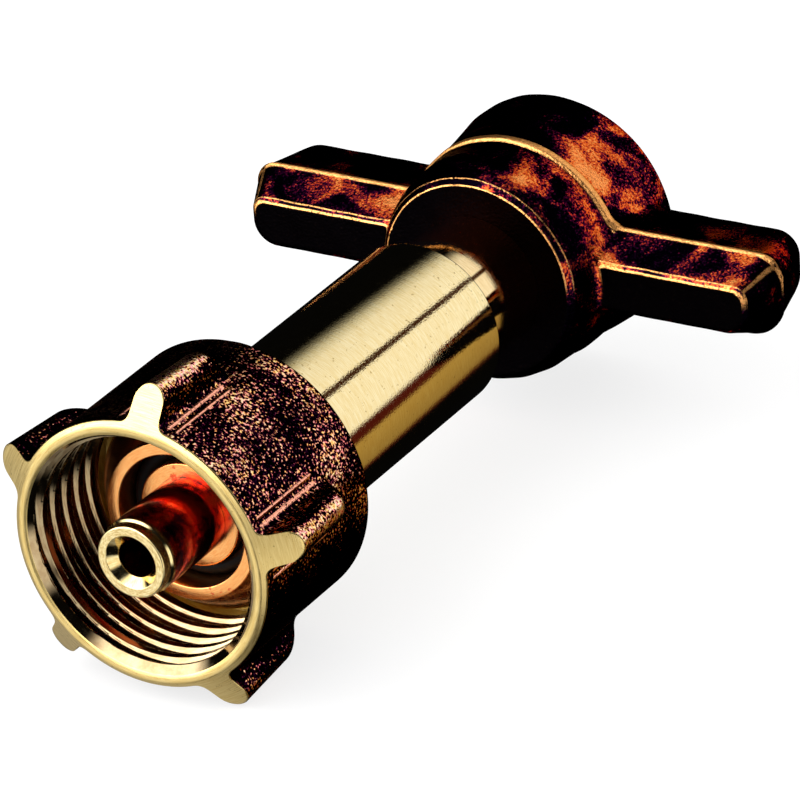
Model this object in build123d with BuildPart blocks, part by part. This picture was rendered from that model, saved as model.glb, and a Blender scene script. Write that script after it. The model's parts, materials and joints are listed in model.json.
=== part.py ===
from build123d import *
import os

# A hand-operated gas valve. A lugged coupling nut holds it by its inlet, a turned barrel carries the
# seat and the gland, and a T-handle turns a hollow rising spindle whose bore ends in a female outlet.
# +Y runs along the valve's axis from the nut's mouth to the handle, +X along the handle's wings and
# +Z up. The origin is the centre of the nut's mouth. The valve is drawn fully open. Millimetres.

# Coupling nut
nut_radius = 12.0
nut_length = 16.7
nut_face_inner_radius = 10.85
nut_face_outer_radius = 11.58
nut_thread_minor_radius = 10.15
nut_thread_end = 9.9
nut_relief_radius = 10.95
nut_shoulder = 12.4
lug_count = 5
lug_start_angle = 12.5
lug_width = 2.7
lug_tip_radius = 15.08
lug_rear_radius = 14.6
lug_front = 2.0
lug_rear = 8.5
lug_end = 11.2
nut_edge_chamfer = 0.35
nut_mouth_chamfer = 0.66

# Barrel and what is fixed in it
barrel_radius = 7.7
barrel_start = 11.2
barrel_end = 46.2
barrel_bore_radius = 7.0
spindle_thread_start = 31.9
spindle_thread_end = 41.5
spindle_thread_bore_radius = 6.55
gland_bore_radius = 7.15

# Inlet tailpiece and nozzle
lip_front = 6.48
lip_inner_radius = 6.0
lip_outer_radius = 7.1
groove_inner_radius = 4.68
groove_bottom = 10.2
nozzle_root = 7.8
flange_radius = 9.36
flange_shoulder = 9.48
tailpiece_stub_end = 15.4
stub_groove_radius = 5.8
stub_groove_start = 12.3
stub_groove_end = 13.6
seat_bore_radius = 3.0
seat_front = 16.0
filter_start = 12.0
clip_groove_start = 14.2
clip_groove_end = 14.8
nozzle_radius = 3.42
nozzle_tip_radius = 3.22
nozzle_tip = -1.25
nozzle_bore_radius = 1.65
nozzle_shank_radius = 2.75
nozzle_seat = 11.0

# Spindle, disc and handle
neck_radius = 6.2
hub_front = 55.6
hub_rear = 72.0
hub_front_radius = 9.06
hub_waist_radius = 10.35
hub_rear_radius = 11.3
tenon_radius = 5.0
tenon_end = 59.2
gas_bore_radius = 3.0
outlet_minor_radius = 7.475
tenon_bore_end = 60.05
outlet_relief_start = 61.5
outlet_thread_start = 63.6
outlet_thread_end = 71.3
wing_front = 58.8
wing_front_half_span = 24.8
wing_front_half_height = 2.15
parting_line = 62.9
parting_half_span = 26.7
parting_half_height = 3.95
wing_rear = 69.2
wing_rear_half_span = 25.0
wing_rear_half_height = 3.55
wing_rear_fillet = 0.9
wing_corner_share = 0.6
grub_screw_position = 57.4
grub_screw_radius = 1.47
grub_screw_outer_end = 9.2

# Clearances
running_gap = 0.05
seated_gap = 0.03

os.makedirs("parts", exist_ok=True)


def turn(*outline, mode=Mode.ADD):
    """Turns a half section, given as (radius, distance along the valve), about the valve's axis."""
    with BuildSketch() as half_section:
        with BuildLine():
            Polyline(*outline, close=True)
        make_face()
    revolve(half_section.sketch, axis=Axis.Y, mode=mode)


def turn_ring(inner_radius, outer_radius, start, end, mode=Mode.ADD):
    """A plain ring about the valve's axis."""
    turn((inner_radius, start), (outer_radius, start), (outer_radius, end), (inner_radius, end), mode=mode)


def turn_o_ring(inner_radius, outer_radius, start, end):
    """A rubber ring squeezed into its groove, so that its section is a rounded rectangle."""
    width = outer_radius - inner_radius
    height = end - start
    with BuildSketch() as section:
        with Locations(((inner_radius + outer_radius) / 2, (start + end) / 2)):
            RectangleRounded(width, height, 0.45 * min(width, height))
    revolve(section.sketch, axis=Axis.Y)


def save(piece, name):
    piece.part.label = name
    export_step(piece.part, f"parts/{name}.step")


# The coupling nut turns freely on the barrel and is tightened by hand or with a hook on its lugs.
with BuildPart() as coupling_nut:
    turn(
        (nut_face_inner_radius, 0),
        (nut_face_outer_radius, 0),
        (nut_radius, 0.24),
        (nut_radius, nut_length - nut_edge_chamfer),
        (nut_radius - nut_edge_chamfer, nut_length),
        (barrel_radius + running_gap + 0.3, nut_length),
        (barrel_radius + running_gap, nut_length - 0.3),
        (barrel_radius + running_gap, nut_shoulder),
        (nut_relief_radius, nut_shoulder),
        (nut_relief_radius, nut_thread_end),
        (nut_thread_minor_radius, nut_thread_end),
        (nut_thread_minor_radius, nut_mouth_chamfer),
    )
    lug_foot = nut_relief_radius + 0.3
    lug_tip_centre = lug_tip_radius - lug_width / 2
    with BuildSketch(Plane.XZ):
        with PolarLocations(0, lug_count, start_angle=lug_start_angle):
            with Locations(((lug_foot + lug_tip_centre) / 2, 0)):
                Rectangle(lug_tip_centre - lug_foot, lug_width)
            with Locations((lug_tip_centre, 0)):
                Circle(lug_width / 2)
    extrude(amount=lug_end, dir=(0, 1, 0))
    # The front of nut and lugs is one turned cone.
    turn(
        (nut_face_outer_radius, 0),
        (lug_tip_radius, lug_front),
        (lug_tip_radius + 1, lug_front),
        (lug_tip_radius + 1, -1),
        (nut_face_outer_radius, -1),
        mode=Mode.SUBTRACT,
    )
    # The lugs fall a little towards the rear and end in a rounded slope.
    lug_slope_middle = (13.85, 10.4)
    with BuildSketch() as above_lugs:
        with BuildLine():
            Polyline(
                (nut_radius, lug_end),
                (nut_radius, lug_end + 1),
                (lug_tip_radius + 1, lug_end + 1),
                (lug_tip_radius + 1, lug_front),
                (lug_tip_radius, lug_front),
                (lug_rear_radius, lug_rear),
            )
            ThreePointArc((lug_rear_radius, lug_rear), lug_slope_middle, (nut_radius, lug_end))
        make_face()
    revolve(axis=Axis.Y, mode=Mode.SUBTRACT)
save(coupling_nut, "coupling_nut")

# The slip washer lets the nut turn against the tailpiece's flange without dragging it round.
with BuildPart() as slip_washer:
    turn_ring(barrel_radius + running_gap, 10.0, barrel_start + running_gap, nut_shoulder - running_gap)
save(slip_washer, "slip_washer")

# The tailpiece seals in the nut's mouth, and its rear end is the valve seat.
with BuildPart() as inlet_tailpiece:
    turn(
        (nozzle_shank_radius, nozzle_root),
        (groove_inner_radius, nozzle_root),
        (groove_inner_radius, groove_bottom),
        (lip_inner_radius, groove_bottom),
        (lip_inner_radius, lip_front),
        (lip_outer_radius, lip_front),
        (flange_radius, flange_shoulder),
        (flange_radius, barrel_start),
        (barrel_bore_radius - seated_gap, barrel_start),
        (barrel_bore_radius - seated_gap, stub_groove_start),
        (stub_groove_radius, stub_groove_start),
        (stub_groove_radius, stub_groove_end),
        (barrel_bore_radius - seated_gap, stub_groove_end),
        (barrel_bore_radius - seated_gap, tailpiece_stub_end),
        (seat_bore_radius + 1, tailpiece_stub_end),
        (seat_bore_radius + 0.6, seat_front),
        (seat_bore_radius, seat_front),
        (seat_bore_radius, filter_start),
        (2.0, filter_start),
        (2.0, nozzle_seat),
        (nozzle_shank_radius, nozzle_seat),
    )
    turn_ring(
        seat_bore_radius - 0.1,
        seat_bore_radius + 0.3,
        clip_groove_start,
        clip_groove_end,
        mode=Mode.SUBTRACT,
    )
save(inlet_tailpiece, "inlet_tailpiece")

with BuildPart() as inlet_nozzle:
    turn(
        (2.4, nozzle_tip),
        (nozzle_tip_radius, nozzle_tip),
        (nozzle_tip_radius, nozzle_tip + 0.9),
        (nozzle_radius, nozzle_tip + 1.1),
        (nozzle_radius, nozzle_root - seated_gap),
        (nozzle_shank_radius - seated_gap, nozzle_root - seated_gap),
        (nozzle_shank_radius - seated_gap, nozzle_seat - 0.1),
        (nozzle_bore_radius, nozzle_seat - 0.1),
        (nozzle_bore_radius, nozzle_tip + 0.75),
    )
save(inlet_nozzle, "inlet_nozzle")

with BuildPart() as face_seal:
    turn_o_ring(
        groove_inner_radius + seated_gap,
        lip_inner_radius - seated_gap,
        8.7,
        groove_bottom - seated_gap,
    )
save(face_seal, "face_seal")

with BuildPart() as tailpiece_seal:
    turn_o_ring(
        stub_groove_radius + seated_gap,
        barrel_bore_radius - 0.02,
        stub_groove_start + running_gap,
        stub_groove_end - running_gap,
    )
save(tailpiece_seal, "tailpiece_seal")

with BuildPart() as inlet_filter:
    turn_ring(0, seat_bore_radius - seated_gap, filter_start + seated_gap, clip_groove_start - seated_gap)
save(inlet_filter, "inlet_filter")

# The filter's clip is a split wire ring that springs into a groove.
with BuildPart() as filter_clip:
    turn_ring(2.5, seat_bore_radius + 0.25, clip_groove_start + seated_gap, clip_groove_end - seated_gap)
    with Locations((0, (clip_groove_start + clip_groove_end) / 2, -seat_bore_radius)):
        Box(1.6, 2, 2.4, mode=Mode.SUBTRACT)
save(filter_clip, "filter_clip")

with BuildPart() as barrel:
    turn(
        (barrel_bore_radius, barrel_start),
        (barrel_radius, barrel_start),
        (barrel_radius, barrel_end - 0.25),
        (barrel_radius - 0.25, barrel_end),
        (gland_bore_radius, barrel_end),
        (gland_bore_radius, spindle_thread_end),
        (spindle_thread_bore_radius, spindle_thread_end),
        (spindle_thread_bore_radius, spindle_thread_start),
        (barrel_bore_radius, spindle_thread_start),
    )
save(barrel, "barrel")

# The gland, from the inside out: a washer that is also the spindle's stop, a packing ring and a bush.
gland_inner_radius = neck_radius + running_gap
gland_outer_radius = gland_bore_radius - seated_gap
gland_washer_end = 42.3
packing_end = 43.9
wiper_groove_radius = 6.75
wiper_groove_start = 44.5
wiper_groove_end = 45.3
with BuildPart() as gland_washer:
    turn_ring(gland_inner_radius, gland_outer_radius, spindle_thread_end + seated_gap, gland_washer_end)
save(gland_washer, "gland_washer")

with BuildPart() as gland_packing:
    turn_ring(gland_inner_radius, gland_outer_radius, gland_washer_end + seated_gap, packing_end)
save(gland_packing, "gland_packing")

with BuildPart() as gland_bush:
    turn_ring(gland_inner_radius, gland_outer_radius, packing_end + running_gap, barrel_end)
    turn_ring(
        gland_inner_radius - 0.1,
        wiper_groove_radius,
        wiper_groove_start,
        wiper_groove_end,
        mode=Mode.SUBTRACT,
    )
    with Locations((0, barrel_end, 0)):
        Box(2 * gland_bore_radius + 1, 1.0, 1.5, mode=Mode.SUBTRACT)
save(gland_bush, "gland_bush")

with BuildPart() as spindle_wiper:
    turn_o_ring(
        gland_inner_radius,
        wiper_groove_radius - seated_gap,
        wiper_groove_start + running_gap,
        wiper_groove_end - running_gap,
    )
save(spindle_wiper, "spindle_wiper")

# The disc holder swivels on the spindle's nose, so that the disc doesn't rub round on its seat.
disc_front = seat_front + 4 + running_gap
disc_radius = 4.65
disc_hole_radius = 1.05
screw_radius = 0.97
holder_radius = 5.4
holder_face = 21.5
nose_front = 22.7
swivel_stem_radius = 1.6
swivel_groove = 24.0
with BuildPart() as disc_holder:
    turn(
        (1.0, holder_face),
        (disc_radius, holder_face),
        (disc_radius, disc_front + 0.4),
        (holder_radius, disc_front + 0.4),
        (holder_radius, nose_front - 0.1),
        (swivel_stem_radius, nose_front - 0.1),
        (swivel_stem_radius, swivel_groove + 0.05),
        (swivel_stem_radius - 0.4, swivel_groove + 0.05),
        (swivel_stem_radius - 0.4, swivel_groove + 0.55),
        (swivel_stem_radius, swivel_groove + 0.55),
        (swivel_stem_radius, swivel_groove + 0.9),
        (0, swivel_groove + 0.9),
        (0, swivel_groove - 0.2),
        (1.0, swivel_groove - 0.2),
    )
save(disc_holder, "disc_holder")

with BuildPart() as seat_disc:
    turn_ring(disc_hole_radius, disc_radius - seated_gap, disc_front, holder_face - seated_gap)
save(seat_disc, "seat_disc")

with BuildPart() as disc_washer:
    turn_ring(disc_hole_radius, 2.4, disc_front - 0.4, disc_front - 0.02)
save(disc_washer, "disc_washer")

with BuildPart() as disc_screw:
    turn(
        (0, disc_front - 1.4),
        (1.7, disc_front - 1.4),
        (1.9, disc_front - 1.2),
        (1.9, disc_front - 0.42),
        (screw_radius, disc_front - 0.42),
        (screw_radius, swivel_groove - 0.3),
        (0, swivel_groove - 0.3),
    )
    with Locations((0, disc_front - 1.4, 0)):
        Box(5, 0.8, 0.5, mode=Mode.SUBTRACT)
save(disc_screw, "disc_screw")

with BuildPart() as swivel_clip:
    turn_ring(swivel_stem_radius - 0.37, 2.2, swivel_groove + 0.1, swivel_groove + 0.5)
    with Locations((0, swivel_groove + 0.3, -2)):
        Box(1.2, 1, 2.4, mode=Mode.SUBTRACT)
save(swivel_clip, "swivel_clip")

# The spindle, from its nose back: the swivel's pocket, the cross-drilled ports, two ring grooves, the
# thread, here a plain running cylinder, the neck that shows behind the barrel, and the handle's tenon.
nose_bore_radius = 1.75
spindle_radius = spindle_thread_bore_radius - running_gap
gas_bore_start = 25.8
seal_land_start = 28.1
seal_land_end = 31.75
seal_land_radius = barrel_bore_radius - running_gap
seal_groove_radius = 5.8
seal_grooves = (28.6, 30.15)
seal_groove_width = 1.15
port_position = 26.9
port_radius = 0.9
with BuildPart() as spindle:
    turn(
        (nose_bore_radius, nose_front),
        (spindle_radius - 0.3, nose_front),
        (spindle_radius, nose_front + 0.3),
        (spindle_radius, seal_land_start),
        (seal_land_radius, seal_land_start),
        (seal_land_radius, seal_land_end),
        (spindle_radius, seal_land_end),
        (spindle_radius, spindle_thread_end - 0.1),
        (neck_radius, spindle_thread_end - 0.1),
        (neck_radius, hub_front),
        (tenon_radius, hub_front),
        (tenon_radius, tenon_end),
        (gas_bore_radius, tenon_end),
        (gas_bore_radius, gas_bore_start),
        (0, gas_bore_start),
        (0, gas_bore_start - 0.7),
        (nose_bore_radius, gas_bore_start - 0.7),
        (nose_bore_radius, swivel_groove + 0.6),
        (2.3, swivel_groove + 0.6),
        (2.3, swivel_groove),
        (nose_bore_radius, swivel_groove),
    )
    for groove in seal_grooves:
        turn_ring(
            seal_groove_radius,
            seal_land_radius + 1,
            groove,
            groove + seal_groove_width,
            mode=Mode.SUBTRACT,
        )
    with Locations((0, port_position, 0)):
        Cylinder(port_radius, 14, mode=Mode.SUBTRACT)
        Cylinder(port_radius, 14, rotation=(0, 90, 0), mode=Mode.SUBTRACT)
save(spindle, "spindle")

with BuildPart() as spindle_seals:
    for groove in seal_grooves:
        turn_o_ring(
            seal_groove_radius + seated_gap,
            barrel_bore_radius - 0.03,
            groove + seated_gap,
            groove + seal_groove_width - seated_gap,
        )
save(spindle_seals, "spindle_seals")

# The T-handle is one forging: a hub that widens to the rear, and two wings with rounded ends. It is
# thickest at the forging's parting line, where a little flash stands round the hub. The hub takes
# the spindle's tenon in front and holds the outlet behind.
wing_sections = (
    (wing_front, wing_front_half_span, wing_front_half_height),
    (parting_line, parting_half_span, parting_half_height),
    (wing_rear, wing_rear_half_span, wing_rear_half_height),
)
with BuildPart() as t_handle:
    for position, half_span, half_height in wing_sections:
        with BuildSketch(Plane.XZ.offset(-position)):
            RectangleRounded(2 * half_span, 2 * half_height, wing_corner_share * half_height)
    loft(ruled=True)
    fillet(t_handle.faces().sort_by(Axis.Y)[-1].edges(), radius=wing_rear_fillet)
    turn(
        (0, hub_front),
        (hub_front_radius, hub_front),
        (hub_front_radius + 0.55, hub_front + 0.6),
        (hub_waist_radius - 0.25, hub_front + 1.4),
        (hub_waist_radius, wing_front),
        (hub_waist_radius, parting_line - 0.45),
        (hub_waist_radius + 0.3, parting_line - 0.15),
        (hub_waist_radius + 0.3, parting_line + 0.15),
        (hub_waist_radius + 0.05, parting_line + 0.45),
        (hub_rear_radius, hub_rear - 1.6),
        (hub_rear_radius - 0.1, hub_rear - 0.7),
        (hub_rear_radius - 0.6, hub_rear),
        (0, hub_rear),
    )
    turn_ring(0, tenon_radius + seated_gap, hub_front - 1, tenon_bore_end, mode=Mode.SUBTRACT)
    turn_ring(0, gas_bore_radius, tenon_bore_end - 0.1, outlet_relief_start + 0.5, mode=Mode.SUBTRACT)
    turn_ring(0, outlet_minor_radius + 0.9, outlet_relief_start, outlet_thread_start, mode=Mode.SUBTRACT)
    turn(
        (0, outlet_relief_start),
        (outlet_minor_radius, outlet_relief_start),
        (outlet_minor_radius, outlet_thread_end),
        (outlet_minor_radius + 1.2, hub_rear + 0.5),
        (0, hub_rear + 0.5),
        mode=Mode.SUBTRACT,
    )
    with Locations((0, grub_screw_position, -10)):
        Cylinder(grub_screw_radius + seated_gap, 14, mode=Mode.SUBTRACT)
save(t_handle, "t_handle")

with BuildPart() as hub_seal:
    turn_ring(gas_bore_radius, tenon_radius, tenon_end + seated_gap, tenon_bore_end - seated_gap)
save(hub_seal, "hub_seal")

# The grub screw enters the hub from below and bears on the tenon.
with BuildPart() as handle_grub_screw:
    with BuildSketch(Plane.XY.offset(-grub_screw_outer_end)):
        with Locations((0, grub_screw_position)):
            Circle(grub_screw_radius)
    extrude(amount=grub_screw_outer_end - tenon_radius - running_gap)
    with BuildSketch(Plane.XY.offset(-grub_screw_outer_end)):
        with Locations((0, grub_screw_position)):
            RegularPolygon(0.75, 6, major_radius=False)
    extrude(amount=2.0, mode=Mode.SUBTRACT)
save(handle_grub_screw, "handle_grub_screw")

with BuildPart() as outlet_washer:
    turn_ring(5.2, outlet_minor_radius + 0.7, outlet_relief_start + seated_gap, 63.2)
save(outlet_washer, "outlet_washer")
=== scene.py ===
import json
import math

import bmesh
import bpy
import numpy as np
from mathutils import Matrix, Vector


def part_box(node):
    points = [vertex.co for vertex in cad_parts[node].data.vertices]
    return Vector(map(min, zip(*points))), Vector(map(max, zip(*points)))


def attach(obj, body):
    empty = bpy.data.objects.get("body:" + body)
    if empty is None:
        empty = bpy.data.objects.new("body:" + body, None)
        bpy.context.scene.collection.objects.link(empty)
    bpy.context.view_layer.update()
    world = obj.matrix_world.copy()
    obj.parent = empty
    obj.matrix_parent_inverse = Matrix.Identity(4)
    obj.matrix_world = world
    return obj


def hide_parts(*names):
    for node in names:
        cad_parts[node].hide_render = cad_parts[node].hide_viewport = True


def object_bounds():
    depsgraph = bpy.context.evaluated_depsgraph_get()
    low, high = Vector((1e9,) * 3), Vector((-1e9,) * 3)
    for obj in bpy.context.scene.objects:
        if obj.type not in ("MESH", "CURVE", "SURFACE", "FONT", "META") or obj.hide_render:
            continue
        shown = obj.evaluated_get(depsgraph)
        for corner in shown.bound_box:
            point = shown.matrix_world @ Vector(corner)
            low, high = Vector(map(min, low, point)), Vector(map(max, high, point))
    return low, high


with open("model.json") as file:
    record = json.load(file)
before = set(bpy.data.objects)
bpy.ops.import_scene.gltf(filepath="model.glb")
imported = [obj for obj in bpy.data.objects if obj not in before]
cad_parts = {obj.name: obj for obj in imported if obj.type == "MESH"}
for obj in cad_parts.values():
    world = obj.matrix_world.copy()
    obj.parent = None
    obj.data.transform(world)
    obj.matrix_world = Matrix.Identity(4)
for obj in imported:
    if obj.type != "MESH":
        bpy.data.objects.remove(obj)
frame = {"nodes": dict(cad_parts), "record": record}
cad_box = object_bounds()

# Sizes are in millimetres, in the frame's axes: +Y along the valve, +X along a wing, +Z up.
MM = 0.001
TAU = 2 * math.pi


# ---------------------------------------------------------------- camera
CAMERA_PLACE = Vector((278.1385, -406.48839, 258.27941)) * MM
CAMERA_RIGHT = Vector((0.86370804, 0.50032278, -0.0607087))
CAMERA_UP = Vector((-0.17740933, 0.41456435, 0.89255943))
CAMERA_BACK = Vector((0.47173548, -0.76014046, 0.44682449))
FOCAL_LENGTH = 308.119

camera_data = bpy.data.cameras.new("camera")
camera_data.lens = FOCAL_LENGTH
camera_data.sensor_width = 36
camera_data.clip_start = 10 * MM
camera_data.dof.use_dof = False
camera = bpy.data.objects.new("camera", camera_data)
bpy.context.scene.collection.objects.link(camera)
pose = Matrix((CAMERA_RIGHT, CAMERA_UP, CAMERA_BACK)).transposed().to_4x4()
pose.translation = CAMERA_PLACE
camera.matrix_world = pose
bpy.context.scene.camera = camera


# ---------------------------------------------------------------- meshes
def add_mesh(name, points, faces, body, nodes, materials, face_slots=None):
    """Makes a piece from points in millimetres, rides it, and lets it stand for CAD nodes."""
    mesh = bpy.data.meshes.new(name)
    points = np.asarray(points, np.float32) * MM
    mesh.from_pydata(points.tolist(), [], faces.tolist() if hasattr(faces, "tolist") else faces)
    for material in materials:
        mesh.materials.append(material)
    if face_slots is not None:
        mesh.polygons.foreach_set("material_index", np.asarray(face_slots, np.int32))
    mesh.polygons.foreach_set("use_smooth", [True] * len(mesh.polygons))
    mesh.update()
    piece = bpy.data.objects.new(name, mesh)
    bpy.context.scene.collection.objects.link(piece)
    if body:
        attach(piece, body)
        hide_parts(*nodes)
    return piece


def mark_sharp(mesh, degrees):
    """Edges that turn by more than this stay sharp in the shading."""
    work = bmesh.new()
    work.from_mesh(mesh)
    limit = math.radians(degrees)
    for edge in work.edges:
        edge.smooth = edge.is_manifold and edge.calc_face_angle(0) < limit
    work.to_mesh(mesh)
    work.free()


def fix_normals(mesh):
    work = bmesh.new()
    work.from_mesh(mesh)
    bmesh.ops.recalc_face_normals(work, faces=work.faces)
    work.to_mesh(mesh)
    work.free()


def soften(outline, radius, steps=3, closed=True):
    """Rounds the corners of a half section, given as (radius, distance along the valve[, corner radius])."""
    shortest = 1e-6
    straight = math.radians(172)
    out = []
    n = len(outline)
    for i, corner in enumerate(outline):
        p = Vector(corner[:2])
        r = corner[2] if len(corner) > 2 else radius
        if (not closed and i in (0, n - 1)) or r <= 0:
            out.append(tuple(p))
            continue
        before = Vector(outline[i - 1][:2]) - p
        after = Vector(outline[(i + 1) % n][:2]) - p
        if before.length < shortest or after.length < shortest:
            continue
        turn = before.angle(after)
        if turn > straight:
            out.append(tuple(p))
            continue
        taken = min(r / math.tan(turn / 2), 0.45 * before.length, 0.45 * after.length)
        start, end = p + before.normalized() * taken, p + after.normalized() * taken
        for k in range(steps + 1):
            t = k / steps
            out.append(tuple(start * (1 - t) ** 2 + p * 2 * t * (1 - t) + end * t * t))
    return out


def lathe(name, outline, body, nodes, materials, segments=160, radius=0.08):
    """Turns a closed half section about the valve's axis. Corners get small real radii."""
    ring = soften(outline, radius)
    count = len(ring)
    points, columns = [], []
    for r, y in ring:
        base = len(points)
        if r < 1e-6:
            columns.append([base] * segments)
            points.append((0, y, 0))
        else:
            columns.append([base + k for k in range(segments)])
            for k in range(segments):
                a = TAU * k / segments
                points.append((r * math.cos(a), y, r * math.sin(a)))
    faces = []
    for i in range(count):
        here, there = columns[i], columns[(i + 1) % count]
        if here[0] == here[1] and there[0] == there[1]:
            continue
        for k in range(segments):
            q = (k + 1) % segments
            face = [here[k], here[q], there[q], there[k]]
            face = [v for j, v in enumerate(face) if v not in face[:j]]
            faces.append(face)
    piece = add_mesh(name, points, faces, body, nodes, materials)
    fix_normals(piece.data)
    mark_sharp(piece.data, 40)
    return piece


class Tube:
    """Rows of points round the valve's axis, each row with the material of the band that it starts."""

    def __init__(self, angle):
        self.angle = angle
        self.rows = []
        self.kinds = []

    def row(self, r, y, kind):
        r = np.broadcast_to(r, self.angle.shape)
        y = np.broadcast_to(y, self.angle.shape)
        self.rows.append(np.stack([r * np.cos(self.angle), y, r * np.sin(self.angle)], 1))
        self.kinds.append(kind)

    def band(self, i, j):
        """The faces between two rows."""
        columns = len(self.angle)
        here = np.arange(columns)
        following = np.roll(here, -1)
        near, far = i * columns, j * columns
        return np.stack([near + here, near + following, far + following, far + here], 1)


# ---------------------------------------------------------------- shaping helpers
def smooth_min(a, b, k):
    h = np.clip(0.5 + 0.5 * (b - a) / k, 0, 1)
    return b * (1 - h) + a * h - k * h * (1 - h)


def step_up(value, low, high):
    t = np.clip((value - low) / (high - low), 0, 1)
    return t * t * (3 - 2 * t)


def thread_radius(angle, y, crest, root, pitch, start, end, flat):
    """A female V thread's radius: flat crests, steep flanks, narrow roots, and a run-out at its inner end."""
    phase = np.mod(y / pitch - angle / TAU, 1.0)
    ramp = np.abs(2 * phase - 1)
    flank = 2 * (root - crest) * math.tan(math.radians(27.5)) / pitch
    tooth = np.clip((ramp - flat) / flank, 0, 1)
    tooth = np.where(tooth < 0.16, tooth ** 2 / 0.32 + 0.02 * (tooth > 0), tooth)
    fade = np.clip((end - y) / (0.5 * pitch), 0, 1)
    return crest + (root - crest) * tooth * fade


# ---------------------------------------------------------------- the nut
NUT_R = 12.0
NUT_BORE_R = 7.75
NUT_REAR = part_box("coupling_nut")[1].y / MM
FACE_R = 11.6
MOUTH_R = 10.81
CONE_START_R = 11.58

LUGS = 5
LUG_START = math.radians(12.5)
LUG_TIP = 15.08
LUG_REAR_R = 14.6
LUG_FRONT = 2.0
LUG_REAR = 8.5
LUG_SLOPE = 2.7
LUG_HALF_WIDTH = 1.38
LUG_CORNER = 1.26
LUG_FOOT_R = NUT_R - 0.5
CONE_SLOPE = (LUG_TIP - CONE_START_R) / LUG_FRONT

SUPPLY_PITCH = 1.814
SUPPLY_CREST_R = 10.15
SUPPLY_ROOT_R = 10.9
SUPPLY_THREAD_END = 9.9
SUPPLY_CREST_SHARE = 0.36

RIDGE_OFFSETS = (1.98, 2.66)
RIDGE_WIDTH = 0.16
RIDGE_HEIGHT = 0.1

CAST, MACHINED, THREAD = 0, 1, 2


def lug_tip(y):
    """The lug's top: it falls a little towards the rear and ends in a rounded slope."""
    y = np.asarray(y, float)
    top = np.interp(y, [LUG_FRONT, LUG_REAR], [LUG_TIP, LUG_REAR_R])
    rounding = np.sqrt(np.clip(1 - ((y - LUG_REAR) / LUG_SLOPE) ** 2, 0, 1))
    return np.where(y > LUG_REAR, LUG_FOOT_R + (LUG_REAR_R - LUG_FOOT_R) * rounding, top)


def off_lug(angle):
    """The angle from the nearest lug's middle."""
    return np.mod(angle - LUG_START + math.pi / LUGS, TAU / LUGS) - math.pi / LUGS


def die_ridges(angle, y, radius):
    """Two fine ridges along each side of a lug's root, where the die's inserts met."""
    across = np.abs(radius * np.sin(off_lug(angle)))
    lines = sum(np.exp(-(((across - offset) / RIDGE_WIDTH) ** 2)) for offset in RIDGE_OFFSETS)
    return lines * step_up(y, 0.9, 1.4) * (1 - step_up(y, 9.0, 10.2)) * (radius < NUT_R + 0.9)


def nut_skin(angle, y):
    """The cast skin's radius: a cylinder with five lugs, blended at their roots."""
    delta = off_lug(angle)
    tip = lug_tip(y)
    low = np.full(np.broadcast(angle, y).shape, NUT_R - 0.8)
    high = np.full(low.shape, LUG_TIP + 0.8)
    for _ in range(34):
        r = 0.5 * (low + high)
        along, across = r * np.cos(delta), np.abs(r * np.sin(delta))
        half = LUG_HALF_WIDTH + (13.0 - along) * 0.04
        qx, qy = across - (half - LUG_CORNER), along - (tip - LUG_CORNER)
        lug = np.hypot(np.maximum(qx, 0), np.maximum(qy, 0)) + np.minimum(np.maximum(qx, qy), 0) - LUG_CORNER
        inside = smooth_min(r - NUT_R, lug, 0.9) < 0
        low = np.where(inside, r, low)
        high = np.where(inside, high, r)
    r = 0.5 * (low + high)
    return r + RIDGE_HEIGHT * die_ridges(angle, y, r)


def cone_y(r):
    """Where the turned cone of nut and lugs lies at this radius."""
    return (r - CONE_START_R) / CONE_SLOPE


def nut_columns():
    """Angles round the nut, close together on the lugs."""
    sector = TAU / LUGS
    wall = math.radians(14.0)
    spread = np.concatenate([
        np.linspace(-sector / 2, -wall, 12, endpoint=False),
        np.linspace(-wall, wall, 76, endpoint=False),
        np.linspace(wall, sector / 2, 12, endpoint=False),
    ])
    return np.concatenate([LUG_START + k * sector + spread for k in range(LUGS)])


def cone_meets_skin(angle):
    """Where the cone meets the cast skin, column by column, found by repeated steps."""
    y = np.full(len(angle), 0.8)
    for _ in range(40):
        y = 0.5 * y + 0.5 * np.clip(cone_y(nut_skin(angle, y)), 0.05, LUG_FRONT)
    return y


def band_kind(a, b):
    """The material between two rows: machined beside cast skin, and thread beside machined metal."""
    if a == b:
        return a
    return MACHINED if CAST in (a, b) else max(a, b)


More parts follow.
